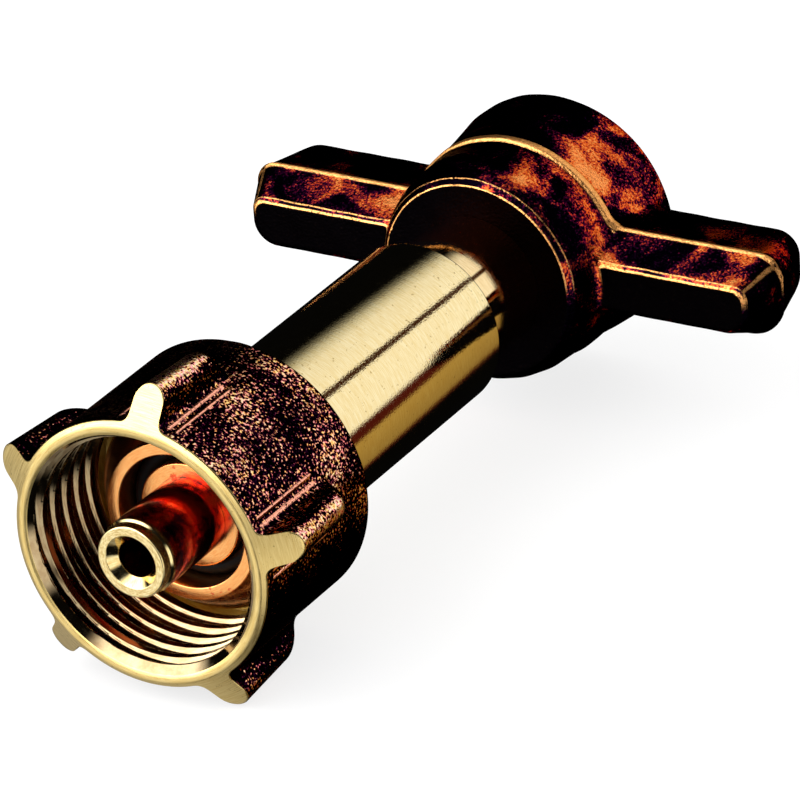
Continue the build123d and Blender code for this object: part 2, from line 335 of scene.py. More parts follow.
def build_nut(cast, machined, thread):
    angle = nut_columns()
    tube = Tube(angle)
    # Thread, from the relief forward to the bevelled mouth.
    for y in np.linspace(SUPPLY_THREAD_END, 0.03, 290):
        r = thread_radius(
            angle, y, SUPPLY_CREST_R, SUPPLY_ROOT_R, SUPPLY_PITCH, 0.3, SUPPLY_THREAD_END, SUPPLY_CREST_SHARE
        )
        tube.row(np.maximum(r, MOUTH_R - (y - 0.04) * 0.66 / 0.62), y, THREAD)
    # The machined ring.
    for r, y in ((MOUTH_R, 0.04), (MOUTH_R + 0.04, 0), (FACE_R - 0.04, 0), (FACE_R, 0.02)):
        tube.row(r, y, MACHINED)
    # The turned cone of nut and lugs.
    y_meet = cone_meets_skin(angle)
    r_meet = CONE_START_R + y_meet * CONE_SLOPE
    for t in np.linspace(0.05, 1, 16):
        r = FACE_R + (r_meet - 0.06 - FACE_R) * t
        tube.row(r, cone_y(r), MACHINED)
    tube.row(r_meet - 0.02, y_meet + 0.03, MACHINED)
    # The cast skin.
    rear = NUT_REAR - 0.35
    front = y_meet + 0.08
    front_rows = np.linspace(0, 0.5, 34, endpoint=False)
    rear_rows = np.linspace(0.5, 1, 34)
    for t in np.concatenate([front_rows, rear_rows]):
        y = front + (rear - front) * t
        tube.row(nut_skin(angle, y), y, CAST)
    # The machined rear, then the bore and the chamber behind the thread.
    rear_face = [(NUT_R, rear), (NUT_R - 0.35, NUT_REAR), (8.05, NUT_REAR), (NUT_BORE_R, NUT_REAR - 0.3)]
    chamber = [(NUT_BORE_R, 16.4), (NUT_BORE_R, 12.4), (10.95, 12.4), (10.95, 9.9), (10.9, 9.9)]
    for r, y in soften(rear_face, 0.05, closed=False)[1:] + soften(chamber, 0.05, closed=False)[1:-1]:
        tube.row(r, y, MACHINED)

    points = np.concatenate(tube.rows)
    count = len(tube.rows)
    faces, slots = [], []
    for i in range(count):
        j = (i + 1) % count
        faces.append(tube.band(i, j))
        slots += [band_kind(tube.kinds[i], tube.kinds[j])] * len(angle)
    piece = add_mesh(
        "nut_casting", points, np.concatenate(faces), "coupling_nut", ["coupling_nut"],
        [cast, machined, thread], slots,
    )
    fix_normals(piece.data)
    mark_sharp(piece.data, 50)
    # What the skin's material needs to know: the ridges, the lugs' tops for their painted highlight, and the
    # lugs' sides for their painted shade.
    around = np.tile(angle, count)
    radius = np.hypot(points[:, 0], points[:, 2])
    across = np.abs(radius * np.sin(off_lug(around)))
    top = step_up(radius, 14.05, 14.5) * (1 - step_up(across, 0.85, 1.15))
    side = step_up(radius, 12.05, 12.35) * (1 - top)
    marks = {"ridge_highlight": die_ridges(around, points[:, 1], radius), "lug_top_highlight": top, "lug_side_shade": side}
    for name, values in marks.items():
        layer = piece.data.attributes.new(name, "FLOAT", "POINT")
        layer.data.foreach_set("value", values.astype(np.float32))


# ---------------------------------------------------------------- the handle
# The hub's half section, closed beyond the axis so that no edge of it lies on the axis.
HUB = [
    (-20, 55.6), (9.06, 55.6), (9.6, 56.16), (9.95, 57.0), (10.25, 58.3), (10.36, 60.0), (10.4, 62.3),
    (10.68, 62.55), (10.7, 63.2), (10.45, 63.5), (10.75, 66), (11.27, 70.4), (11.2, 71.3), (10.7, 71.98),
    (-20, 71.98),
]
HUB_STEP = 0.04

# Along the valve: a wing's reach from the axis, and half its height.
WING_FRONT = 58.8
WING_REAR = 69.2
WING_SPAN = [(58.8, 24.5), (59.15, 24.9), (62.9, 26.5), (67.5, 25.5), (69.2, 25.0)]
WING_HALF = [(58.8, 1.95), (59.2, 2.34), (62.9, 3.9), (69.2, 3.53)]
UPPER_CORNER_SHARE = 0.6
LOWER_CORNER_SHARE = 0.97
ROOT_BLEND = 1.0

# Where the forging dies met, and the fine flash that they left on the wings.
PART_LINE = 62.9
FLASH_HEIGHT = 0.1
FLASH_WIDTH = 0.22

TENON_R = 5.03
TENON_END = 60.05
GAS_BORE_R = 3.0
OUTLET_BOTTOM = 61.5
OUTLET_RELIEF_R = 8.375
OUTLET_RELIEF_END = 63.6
OUTLET_PITCH = 1.337
OUTLET_CREST_R = 7.475
OUTLET_ROOT_R = 8.32
OUTLET_BEVEL_START = 71.3
GRUB_HOLE_R = 1.5
GRUB_HOLE_Y = 57.4


def outline_distance(r, y, outline):
    """Signed distance in a half plane to a closed outline, negative inside."""
    best = np.full(r.shape, 1e9)
    inside = np.zeros(r.shape, bool)
    n = len(outline)
    for i in range(n):
        ax, ay = outline[i]
        bx, by = outline[(i + 1) % n]
        ex, ey = bx - ax, by - ay
        px, py = r - ax, y - ay
        t = np.clip((px * ex + py * ey) / (ex * ex + ey * ey), 0, 1)
        best = np.minimum(best, np.hypot(px - ex * t, py - ey * t))
        if ey != 0:
            crosses = (ay > y) != (by > y)
            inside ^= crosses & (r < ex * py / ey + ax)
    return np.where(inside, -best, best)


hub_r, hub_y = np.meshgrid(np.arange(0, 30, HUB_STEP), np.arange(52, 76, HUB_STEP), indexing="ij")
hub_table = outline_distance(hub_r, hub_y, HUB)


def table_lookup(table, r, y, r0, y0, step):
    """The table's value at r and y, mixed from its four nearest entries."""
    i = np.clip((r - r0) / step, 0, table.shape[0] - 1.001)
    j = np.clip((y - y0) / step, 0, table.shape[1] - 1.001)
    i0, j0 = i.astype(int), j.astype(int)
    u, v = i - i0, j - j0
    return (
        table[i0, j0] * (1 - u) * (1 - v) + table[i0 + 1, j0] * u * (1 - v)
        + table[i0, j0 + 1] * (1 - u) * v + table[i0 + 1, j0 + 1] * u * v
    )


def wing_distance(x, y, z):
    span = np.interp(y, *zip(*WING_SPAN))
    half = np.interp(y, *zip(*WING_HALF))
    corner = np.where(z < 0, LOWER_CORNER_SHARE, UPPER_CORNER_SHARE) * half
    flash = FLASH_HEIGHT * np.exp(-(((y - PART_LINE) / FLASH_WIDTH) ** 2))
    qx, qz = np.abs(x) - (span + flash - corner), np.abs(z) - (half + flash - corner)
    d = np.hypot(np.maximum(qx, 0), np.maximum(qz, 0)) + np.minimum(np.maximum(qx, qz), 0) - corner
    # The wings' sloping faces make the measure a little too long.
    d = d * 0.93
    d = -smooth_min(-d, y - WING_FRONT, 0.18)
    return -smooth_min(-d, WING_REAR - y, 0.9)


def handle_distance(x, y, z):
    hub = table_lookup(hub_table, np.hypot(x, z), y, 0, 52, HUB_STEP)
    d = smooth_min(hub, wing_distance(x, y, z), ROOT_BLEND)
    # A forging is never quite true.
    return d + 0.022 * np.sin(x * 1.1 + z * 1.3 + 0.5) * np.sin(y * 1.2 + x * 0.6) + 0.012


def sample_field(distance, axes):
    """The distance at every point of the grid, worked out one slice at a time."""
    field = np.empty([len(a) for a in axes], np.float32)
    gy, gz = np.meshgrid(axes[1], axes[2], indexing="ij")
    for i, x in enumerate(axes[0]):
        field[i] = distance(np.full_like(gy, x), gy, gz)
    return field


def settle(points, distance, step):
    """Moves points onto the surface where the distance is zero."""
    h = 0.02
    for _ in range(5):
        x, y, z = points.T
        gradient = np.stack([
            distance(x + h, y, z) - distance(x - h, y, z),
            distance(x, y + h, z) - distance(x, y - h, z),
            distance(x, y, z + h) - distance(x, y, z - h),
        ], 1) / (2 * h)
        size = np.maximum((gradient ** 2).sum(1), 0.2)
        points = points - np.clip(distance(x, y, z) / size, -step, step)[:, None] * gradient
    return points


def surface_nets(distance, low, high, step):
    """A closed quad mesh of distance = 0: a point in each crossed cell, a quad across each crossed edge."""
    axes = [np.arange(a, b + step, step) for a, b in zip(low, high)]
    field = sample_field(distance, axes)
    sign = field < 0
    first_half, second_half = slice(0, -1), slice(1, None)
    halves = (first_half, second_half)
    total = sum(sign[a, b, c].astype(np.int8) for a in halves for b in halves for c in halves)
    mixed = (total > 0) & (total < 8)
    cells = np.argwhere(mixed)
    number = np.full(mixed.shape, -1, np.int64)
    number[mixed] = np.arange(len(cells))
    points = np.stack([axes[k][cells[:, k]] + step / 2 for k in range(3)], 1)
    faces = []
    for axis in range(3):
        here = [slice(None)] * 3
        there = [slice(None)] * 3
        here[axis] = first_half
        there[axis] = second_half
        where = np.argwhere(sign[tuple(here)] != sign[tuple(there)])
        inner = [k for k in range(3) if k != axis]
        keep = np.ones(len(where), bool)
        for k in inner:
            keep &= (where[:, k] > 0) & (where[:, k] < field.shape[k] - 1)
        where = where[keep]
        corners = []
        for du, dv in ((-1, -1), (0, -1), (0, 0), (-1, 0)):
            cell = where.copy()
            cell[:, inner[0]] += du
            cell[:, inner[1]] += dv
            corners.append(number[tuple(cell.T)])
        quad = np.stack(corners, 1)
        leaving = sign[tuple(where.T)]
        flip = leaving if axis != 1 else ~leaving
        quad[~flip] = quad[~flip][:, ::-1]
        faces.append(quad)
    return settle(points, distance, step), np.concatenate(faces)


def cut(piece, cutter):
    """Takes the cutter's volume out of the piece, keeping both materials."""
    modifier = piece.modifiers.new("cut", "BOOLEAN")
    modifier.operation = "DIFFERENCE"
    modifier.object = cutter
    modifier.solver = "EXACT"
    modifier.material_mode = "TRANSFER"
    depsgraph = bpy.context.evaluated_depsgraph_get()
    result = bpy.data.meshes.new_from_object(piece.evaluated_get(depsgraph))
    piece.modifiers.clear()
    old = piece.data
    piece.data = result
    result.name = piece.name
    bpy.data.meshes.remove(old)
    bpy.data.objects.remove(cutter)


def outlet_cutter(machined, thread):
    """The bores of the hub, from the tenon's socket through to the threaded outlet."""
    plain, threaded = 0, 1
    front_end, rear_end = 54.0, 74.0
    columns = 200
    angle = np.linspace(0, TAU, columns, endpoint=False)
    tube = Tube(angle)
    bores = [
        (TENON_R, front_end), (TENON_R, TENON_END), (GAS_BORE_R, TENON_END), (GAS_BORE_R, OUTLET_BOTTOM),
        (OUTLET_RELIEF_R, OUTLET_BOTTOM), (OUTLET_RELIEF_R, OUTLET_RELIEF_END),
    ]
    for r, y in soften(bores, 0.06, 2, closed=False):
        tube.row(r, y, plain)
    for y in np.linspace(OUTLET_RELIEF_END + 0.02, 71.9, 110):
        r = thread_radius(angle, y, OUTLET_CREST_R, OUTLET_ROOT_R, OUTLET_PITCH, 63.5, 73.0, 0.12)
        bevel = OUTLET_CREST_R + max(y - OUTLET_BEVEL_START, 0)
        tube.row(np.maximum(r, bevel), y, threaded)
    for r, y in ((8.2, 72.0), (8.3, 72.15), (8.3, rear_end)):
        tube.row(r, y, plain)
    count = len(tube.rows)
    ends = np.array([[0, front_end, 0], [0, rear_end, 0]])
    faces, slots = [], []
    for i in range(count - 1):
        faces += tube.band(i, i + 1).tolist()
        slots += [tube.kinds[i + 1]] * columns
    first, last = count * columns, count * columns + 1
    for k in range(columns):
        q = (k + 1) % columns
        faces.append([first, q, k])
        faces.append([last, (count - 1) * columns + k, (count - 1) * columns + q])
    slots += [plain] * (2 * columns)
    points = np.concatenate(tube.rows + [ends])
    cutter = add_mesh("outlet_cutter", points, faces, None, None, [machined, thread], slots)
    fix_normals(cutter.data)
    return cutter


def upright_cutter(name, radius, y, start, end, columns=40):
    """A cylinder along Z, for a hole across the hub."""
    points, faces = [], []
    for z in (start, end):
        for k in range(columns):
            a = TAU * k / columns
            points.append((radius * math.cos(a), y + radius * math.sin(a), z))
    for k in range(columns):
        q = (k + 1) % columns
        faces.append([k, q, columns + q, columns + k])
    faces.append(list(range(columns))[::-1])
    faces.append(list(range(columns, 2 * columns)))
    piece = add_mesh(name, points, faces, None, None, [])
    fix_normals(piece.data)
    return piece


def build_handle(skin, machined, thread):
    step = 0.15
    points, faces = surface_nets(handle_distance, (-27.4, 55.0, -11.6), (27.4, 72.6, 11.6), step)
    piece = add_mesh("handle_forging", points, faces, "spindle", ["t_handle"], [skin])
    fix_normals(piece.data)
    cut(piece, outlet_cutter(machined, thread))
    cut(piece, upright_cutter("grub_hole", GRUB_HOLE_R, GRUB_HOLE_Y, -16.0, -3.0))
    mark_sharp(piece.data, 60)


# ---------------------------------------------------------------- materials
class Wire:
    """A node's output, with plain arithmetic."""

    def __init__(self, finish, socket):
        self.finish = finish
        self.socket = socket

    def __add__(self, other):
        return self.finish.math("ADD", self, other)

    def __sub__(self, other):
        return self.finish.math("SUBTRACT", self, other)

    def __rsub__(self, other):
        return self.finish.math("SUBTRACT", other, self)

    def __mul__(self, other):
        return self.finish.math("MULTIPLY", self, other)

    def __truediv__(self, other):
        return self.finish.math("DIVIDE", self, other)

    def __abs__(self):
        return self.finish.math("ABSOLUTE", self)


class Finish:
    """A procedural material, with short calls for its nodes."""

    def __init__(self, name, metallic=1.0, **constants):
        self.material = bpy.data.materials.new(name)
        self.material.use_nodes = True
        self.tree = self.material.node_tree
        self.tree.nodes.clear()
        out = self.tree.nodes.new("ShaderNodeOutputMaterial")
        self.surface = self.tree.nodes.new("ShaderNodeBsdfPrincipled")
        self.tree.links.new(self.surface.outputs[0], out.inputs["Surface"])
        self.surface.inputs["Metallic"].default_value = metallic
        for key, value in constants.items():
            socket = key.replace("_", " ").title().replace("Ior", "IOR")
            self.surface.inputs[socket].default_value = value
        self.coordinates = self.tree.nodes.new("ShaderNodeTexCoord")
        self.place = Wire(self, self.coordinates.outputs["Object"])
        self.normal = Wire(self, self.coordinates.outputs["Normal"])

    def node(self, kind, output, *inputs, **properties):
        """Adds a node, feeds its first inputs in order, and gives one of its outputs."""
        node = self.tree.nodes.new("ShaderNode" + kind)
        for key, value in properties.items():
            setattr(node, key, value)
        for socket, value in zip(node.inputs, inputs):
            self.put(socket, value)
        return Wire(self, node.outputs[output])

    def put(self, socket, value):
        if isinstance(value, Wire):
            self.tree.links.new(value.socket, socket)
        else:
            socket.default_value = value

    def set(self, name, value):
        self.put(self.surface.inputs[name], value)

    def math(self, operation, a, b=0.0, clamp=False):
        return self.node("Math", 0, a, b, operation=operation, use_clamp=clamp)

    def limit(self, value):
        """The value, kept between 0 and 1."""
        return self.math("ADD", value, 0.0, clamp=True)

    def most(self, first, *others):
        for other in others:
            first = self.math("MAXIMUM", first, other)
        return first

    def smooth(self, value, low, high, to_low=0.0, to_high=1.0):
        return self.node("MapRange", 0, value, low, high, to_low, to_high, interpolation_type="SMOOTHSTEP")

    def rise(self, value, low, high):
        """0 below low, 1 above high."""
        return self.smooth(value, low, high)

    def fall(self, value, low, high):
        """1 below low, 0 above high."""
        return self.smooth(value, low, high, 1.0, 0.0)

    def mix(self, factor, a, b, mode="MIX"):
        node = self.tree.nodes.new("ShaderNodeMix")
        node.data_type = "RGBA"
        node.blend_type = mode
        self.put(node.inputs[0], factor)
        for socket, value in ((node.inputs[6], a), (node.inputs[7], b)):
            self.put(socket, value if isinstance(value, Wire) else (*value, 1.0))
        return Wire(self, node.outputs[2])

    def ramp(self, value, stops):
        node = self.tree.nodes.new("ShaderNodeValToRGB")
        node.color_ramp.interpolation = "LINEAR"
        elements = node.color_ramp.elements
        while len(elements) > 1:
            elements.remove(elements[0])
        elements[0].position = stops[0][0]
        elements[0].color = (*stops[0][1], 1.0)
        for position, colour in stops[1:]:
            elements.new(position).color = (*colour, 1.0)
        self.put(node.inputs[0], value)
        return Wire(self, node.outputs[0])

    def noise(self, scale, detail=2.0, roughness=0.5, vector=None, distortion=0.0):
        node = self.tree.nodes.new("ShaderNodeTexNoise")
        self.put(node.inputs["Vector"], vector or self.place)
        node.inputs["Scale"].default_value = scale
        node.inputs["Detail"].default_value = detail
        node.inputs["Roughness"].default_value = roughness
        node.inputs["Distortion"].default_value = distortion
        return Wire(self, node.outputs[0])

    def cells(self, scale):
        node = self.tree.nodes.new("ShaderNodeTexVoronoi")
        self.put(node.inputs["Vector"], self.place)
        node.inputs["Scale"].default_value = scale
        return Wire(self, node.outputs["Distance"])

    def split(self, vector):
        node = self.tree.nodes.new("ShaderNodeSeparateXYZ")
        self.put(node.inputs[0], vector)
        return [Wire(self, output) for output in node.outputs]

    def where(self):
        """The place on the piece, in millimetres."""
        return [axis / MM for axis in self.split(self.place)]

    def join(self, x, y, z):
        return self.node("CombineXYZ", 0, x, y, z)

    def attribute(self, name):
        return self.node("Attribute", "Fac", attribute_name=name)

    def bump(self, height, strength, distance):
        node = self.tree.nodes.new("ShaderNodeBump")
        node.inputs["Strength"].default_value = strength
        node.inputs["Distance"].default_value = distance
        self.put(node.inputs["Height"], height)
        return Wire(self, node.outputs[0])

    def round_marks(self, fine=9000, around=6.0, detail=3.0):
        """Marks that run round the valve's axis, as a lathe leaves them."""
        x, y, z = self.split(self.place)
        r = self.most(self.math("SQRT", x * x + z * z), 0.01 * MM)
        return self.noise(1.0, detail, 0.65, self.join((y + r * 0.83) * fine, x / r * around, z / r * around))

    def tangent_round(self):
        tangent = self.node("Tangent", 0, direction_type="RADIAL", axis="Y")
        self.put(self.surface.inputs["Tangent"], tangent)


def turned(
    name, colour, shade, roughness, marks=0.3, anisotropy=0.0,
    stain=None, stain_size=2600, hub_reflection=None, crests=None, hatch=0.0,
):
    """Turned brass: fine marks round the axis and faint blotches.

    It takes a stain, a painted orange-red reflection of the hub from one distance along the valve to another,
    dark thread crests, and a hatch of short marks, if these are given.
    """
    f = Finish(name, anisotropic=anisotropy, anisotropic_rotation=0.25)
    lines = f.round_marks()
    broad = f.round_marks(900, 2.5, 2.0)
    blotch = f.noise(330, 4.0, 0.6)
    base = f.mix(f.smooth(lines, 0.3, 0.72), shade, colour)
    base = f.mix(f.smooth(blotch, 0.45, 0.8, 0.0, 0.35), base, shade)
    if stain:
        spots = f.smooth(f.noise(stain_size, 3.0, 0.7), 0.63, 0.7, 0.0, 0.8)
        base = f.mix(spots, base, stain)
    if hub_reflection:
        # Painted reflection: the hub's orange-red, painted on the neck from one distance along the valve
        # onward.
        along = f.where()[1] + (blotch - 0.5)
        base = f.mix(f.rise(along, *hub_reflection), base, (0.95, 0.24, 0.05))
    if crests:
        facing = abs(f.split(f.normal)[1])
        base = f.mix(f.fall(facing, 0.17, 0.34), base, crests)
    f.set("Base Color", base)
    f.set("Roughness", f.limit((lines - 0.5) * 0.25 + roughness + (blotch - 0.5) * 0.1))
    height = lines + broad * 1.5
    if hatch:
        height = height + f.round_marks(5000, 45.0, 1.0) * hatch
    f.set("Normal", f.bump(height, marks, 0.012 * MM))
    f.tangent_round()
    return f.material


class Skin(Finish):
    """A brass casting's or forging's skin: sandy grain, oxide in patches and small pits."""

    def __init__(self, name, grain_size, grain_detail, grain_harshness, patch_size, patch_weight):
        super().__init__(name, specular_tint=(0.12, 0.07, 0.07, 1.0))
        self.grain = self.noise(1.0 / grain_size, grain_detail, grain_harshness)
        self.pits = self.cells(1.0 / (grain_size * 1.1))
        self.patch = self.noise(1.0 / patch_size, 3.0, 0.55, distortion=0.4)
        oxide = (self.grain - 0.5) * 1.5 + 0.5 + (self.patch - 0.5) * patch_weight
        # How bare the metal is: 0 is black scale, 1 is bright brass.
        self.bare = self.limit(oxide + (0.45 - self.pits) * 0.25)
        self.rough = (0.5 - self.grain) * 0.3 + 0.22

    def done(self, base, rough, depth):
        self.set("Base Color", base)
        self.set("Roughness", rough)
        self.set("Normal", self.bump(self.grain - self.pits * 0.6, 1.0, depth))
        return self.material


def nut_material():
    f = Skin("nut_cast_skin", 0.24 * MM, 1.5, 0.5, 3.6 * MM, 0.8)
    # Painted light: the lugs' tops are brightened as a painted highlight, and their sides darkened as painted
    # shade.
    bare = f.bare + f.attribute("lug_top_highlight") * 0.24 - f.attribute("lug_side_shade") * 0.1
    # Painted shade: one stretch of the nut's lower flank is painted darker than the rest.
    x, y, z = f.where()
    flank_shade = f.fall(z, -2.2, 0.5) * f.rise(z, -10.8, -9.2) * f.rise(x, 1.0, 4.0)
    base = f.ramp(bare - flank_shade * 0.2, [
        (0.30, (0.001, 0.0005, 0.001)), (0.52, (0.008, 0.002, 0.01)), (0.6, (0.07, 0.01, 0.035)),
        (0.645, (0.5, 0.15, 0.09)), (0.70, (0.95, 0.45, 0.22)), (0.85, (1.0, 0.8, 0.5)),
    ])
    # Some grains are pinker and some are greener.
    hue = f.noise(0.55 / (0.24 * MM), 1.0, 0.5)
    base = f.mix(f.rise(hue, 0.54, 0.6), base, f.mix(1.0, base, (1.0, 0.62, 0.95), mode="MULTIPLY"))
    base = f.mix(f.fall(hue, 0.4, 0.46), base, f.mix(1.0, base, (1.0, 0.95, 0.55), mode="MULTIPLY"))
    # Painted highlight: pale pink lines on the ridges along the lugs' roots.
    ridge_highlight = f.rise(f.attribute("ridge_highlight"), 0.3, 0.6) * f.rise(f.grain, 0.3, 0.44)
    base = f.mix(ridge_highlight, base, (1.0, 0.42, 0.28))
    return f.done(base, f.rough, 0.03 * MM)


def handle_painted_shade(f):
    """Painted shade: where the forging is painted darker, as if out of the light.

    One side of the hub's top, the wings' rear slopes and ends, and the underside.
    """
    x, y, z = f.where()
    hub_top = f.fall(x, 0.8, 4.2) * f.rise(z, 5.2, 7.2)
    lie = abs(f.split(f.normal)[2])
    rear_slope = f.rise(lie, 0.8, 0.92) * f.rise(y, 63.4, 63.8) * f.fall(abs(z), 4.8, 5.8)
    wing_end = f.rise(abs(x), 23.6, 24.8)
    underside = f.fall(z, -2.8, 2.2)
    return f.most(hub_top, rear_slope, wing_end, underside)


def handle_wear_and_highlight(f):
    """Where the forging is painted bright, on its upper part only: its flash, front edges and the edges of
    its wings' ends; partly worn bare brass, partly painted highlight.
    """
    x, y, z = f.where()
    sideways, facing = f.split(f.normal)[:2]
    sideways = abs(sideways)
    on_hub = f.fall(f.math("SQRT", x * x + z * z), 10.9, 11.4)
    off_flash = abs(y - 62.88) - (on_hub * 0.26 + 0.18)
    flash = f.fall(off_flash, 0.0, 0.16) * f.fall(abs(x), 25.4, 25.8)
    first_edge = f.rise(facing, -0.97, -0.94) * f.fall(facing, -0.82, -0.75)
    second_edge = f.rise(facing, -0.68, -0.63) * f.fall(facing, -0.56, -0.50)
    wing_root = f.fall(abs(x), 13.0, 14.2) * f.rise(y, 57.8, 58.1) * f.rise(sideways, 0.28, 0.4)
    front_edges = f.most(first_edge, second_edge) * (1.0 - wing_root)
    end_edge = f.rise(sideways, 0.52, 0.58) * f.fall(sideways, 0.65, 0.71)
    end_edge = end_edge * f.fall(y, 62.8, 63.0) * f.rise(abs(x), 22.5, 23.0)
    broken = f.rise(f.grain, 0.36, 0.5) * f.rise(f.patch, 0.22, 0.42)
    # Painted highlight: the bright marks are kept to the upper part, where the light falls.
    upper = f.rise(z, 0.2, 1.6)
    return f.most(front_edges, end_edge, flash) * f.most(broken, flash * 0.75) * upper


def handle_material():
    f = Skin("handle_forged_skin", 0.22 * MM, 3.0, 0.75, 4.2 * MM, 2.6)
    # The forging's colour, darkened by painted shade on its hub top, wings' rear slopes and ends, and
    # underside.
    base = f.ramp(f.bare - handle_painted_shade(f) * 0.34, [
        (0.30, (0.001, 0.0005, 0.002)), (0.45, (0.02, 0.002, 0.022)), (0.53, (0.13, 0.004, 0.03)),
        (0.61, (0.5, 0.035, 0.015)), (0.74, (0.8, 0.13, 0.02)), (0.95, (1.0, 0.33, 0.09)),
    ])
    # Painted shade: faces turned to the front are painted near black, with few specks.
    front = f.fall(f.split(f.normal)[1], -0.97, -0.86)
    scale = f.mix(f.rise(f.grain, 0.62, 0.72), (0.002, 0.0015, 0.002), (0.012, 0.007, 0.006))
    base = f.mix(front, base, scale)
    # Worn bare brass and painted highlight, on the forging's upper edges and flash.
    wear_and_highlight = handle_wear_and_highlight(f)
    base = f.mix(wear_and_highlight, base, (1.0, 0.46, 0.14))
    return f.done(base, f.rough + wear_and_highlight * 0.12, 0.05 * MM)


def nozzle_material():
    """Bright at its turned tip, heat-reddened along its side."""
    f = Finish("nozzle_brass")
    lines = f.round_marks(8000)
    tip = f.fall(f.where()[1], -0.12, 0.3)
    side = f.ramp(f.noise(300, 4.0, 0.65), [
        (0.36, (0.008, 0.003, 0.01)), (0.46, (0.12, 0.006, 0.05)), (0.53, (0.75, 0.03, 0.02)),
        (0.68, (1.0, 0.22, 0.1)),
    ])
    pale = f.mix(f.smooth(lines, 0.3, 0.7), (0.6, 0.42, 0.16), (0.84, 0.7, 0.36))
    f.set("Base Color", f.mix(tip, side, pale))
    f.set("Roughness", f.smooth(lines, 0.2, 0.8, 0.06, 0.16))
    f.set("Normal", f.bump(lines, 0.3, 0.01 * MM))
    return f.material


def rubber(name, colour):
    f = Finish(name, metallic=0.0, specular_ior_level=0.1)
    grain = f.noise(7000, 3.0, 0.6)
    f.set("Base Color", f.mix(grain, colour, tuple(2.2 * c for c in colour)))
    f.set("Roughness", f.smooth(grain, 0.2, 0.8, 0.42, 0.62))
    f.set("Normal", f.bump(grain + f.round_marks(2500, 1.0), 0.4, 0.01 * MM))
    return f.material


def steel(name, colour, roughness):
    f = Finish(name)
    marks = f.round_marks(14000, 10.0)
    f.set("Base Color", f.mix(f.smooth(marks, 0.3, 0.7), tuple(0.7 * c for c in colour), colour))
    f.set("Roughness", f.smooth(marks, 0.25, 0.75, roughness - 0.07, roughness + 0.09))
    f.set("Normal", f.bump(marks, 0.3, 0.01 * MM))
    return f.material


def fibre(name, colour, dark, scale):
    f = Finish(name, metallic=0.0)
    strands = f.noise(scale, 4.0, 0.7, distortion=1.5)
    f.set("Base Color", f.mix(strands, dark, colour))
    f.set("Roughness", f.smooth(strands, 0.2, 0.8, 0.65, 0.85))
    f.set("Normal", f.bump(strands, 0.6, 0.03 * MM))
    return f.material


def sintered(name):
    f = Finish(name)
    beads = f.cells(5200)
    stops = [(0.0, (0.62, 0.42, 0.24)), (0.55, (0.34, 0.19, 0.1)), (0.8, (0.05, 0.03, 0.02))]
    f.set("Base Color", f.ramp(beads, stops))
    f.set("Roughness", 0.5)
    f.set("Normal", f.bump(1.0 - beads, 1.0, 0.08 * MM))
    return f.material


barrel_finish = turned(
    "barrel_brass", (0.8, 0.68, 0.4), (0.7, 0.54, 0.25), 0.06, 0.3, stain=(0.3, 0.2, 0.06), hatch=1.6
)
ring_finish = turned(
    "machined_brass", (0.84, 0.65, 0.27), (0.66, 0.46, 0.15), 0.31, 0.4, stain=(0.4, 0.27, 0.08)
)
thread_finish = turned(
    "thread_brass", (0.44, 0.34, 0.19), (0.3, 0.2, 0.1), 0.07, 0.12, crests=(0.09, 0.035, 0.02)
)
tailpiece_finish = turned(
    "tailpiece_brass", (0.92, 0.46, 0.16), (0.8, 0.32, 0.09), 0.2, 0.4,
    stain=(0.7, 0.09, 0.03), stain_size=700,
)
spindle_finish = turned(
    "spindle_brass", (0.8, 0.64, 0.36), (0.7, 0.5, 0.24), 0.06, 0.15, hub_reflection=(49.7, 50.7)
)
inner_finish = turned("inner_brass", (0.78, 0.6, 0.28), (0.6, 0.42, 0.16), 0.22, 0.4, anisotropy=0.3)
nut_finish = nut_material()
handle_finish = handle_material()
nozzle_finish = nozzle_material()

finishes = {
    "turned_brass": inner_finish,
    "base_brass": tailpiece_finish,
    "nozzle_brass": nozzle_finish,
    "spindle_brass": spindle_finish,
    "forged_brass": handle_finish,
    "sintered_bronze": sintered("sintered_bronze"),
    "black_rubber": rubber("black_rubber", (0.002, 0.002, 0.0022)),
    "white_packing": fibre("white_packing", (0.8, 0.79, 0.74), (0.6, 0.58, 0.52), 3000),
    "red_fibre": fibre("red_fibre", (0.42, 0.08, 0.04), (0.2, 0.03, 0.02), 2600),
    "spring_steel": steel("spring_steel", (0.62, 0.62, 0.6), 0.22),
    "dark_steel": steel("dark_steel", (0.1, 0.1, 0.11), 0.4),
}


# ---------------------------------------------------------------- pieces
build_nut(nut_finish, ring_finish, thread_finish)
build_handle(handle_finish, inner_finish, thread_finish)

# Each outline below is a list of (radius, distance along the valve), in millimetres, and some corners
# add their own rounding.
BARREL, BARREL_FRONT, BARREL_REAR = 7.7, 11.2, 46.2
PACKING_BORE, SPINDLE_BORE, DISC_BORE = 7.15, 6.55, 7.0
lathe(
    "barrel_tube",
    [
        (DISC_BORE, BARREL_FRONT), (BARREL, BARREL_FRONT), (BARREL, BARREL_REAR, 0.25),
        (PACKING_BORE, BARREL_REAR), (PACKING_BORE, 41.5, 0), (SPINDLE_BORE, 41.5),
        (SPINDLE_BORE, 31.9), (DISC_BORE, 31.9, 0),
    ],
    "valve_body", ["barrel"], [barrel_finish], 220, 0.06,
)

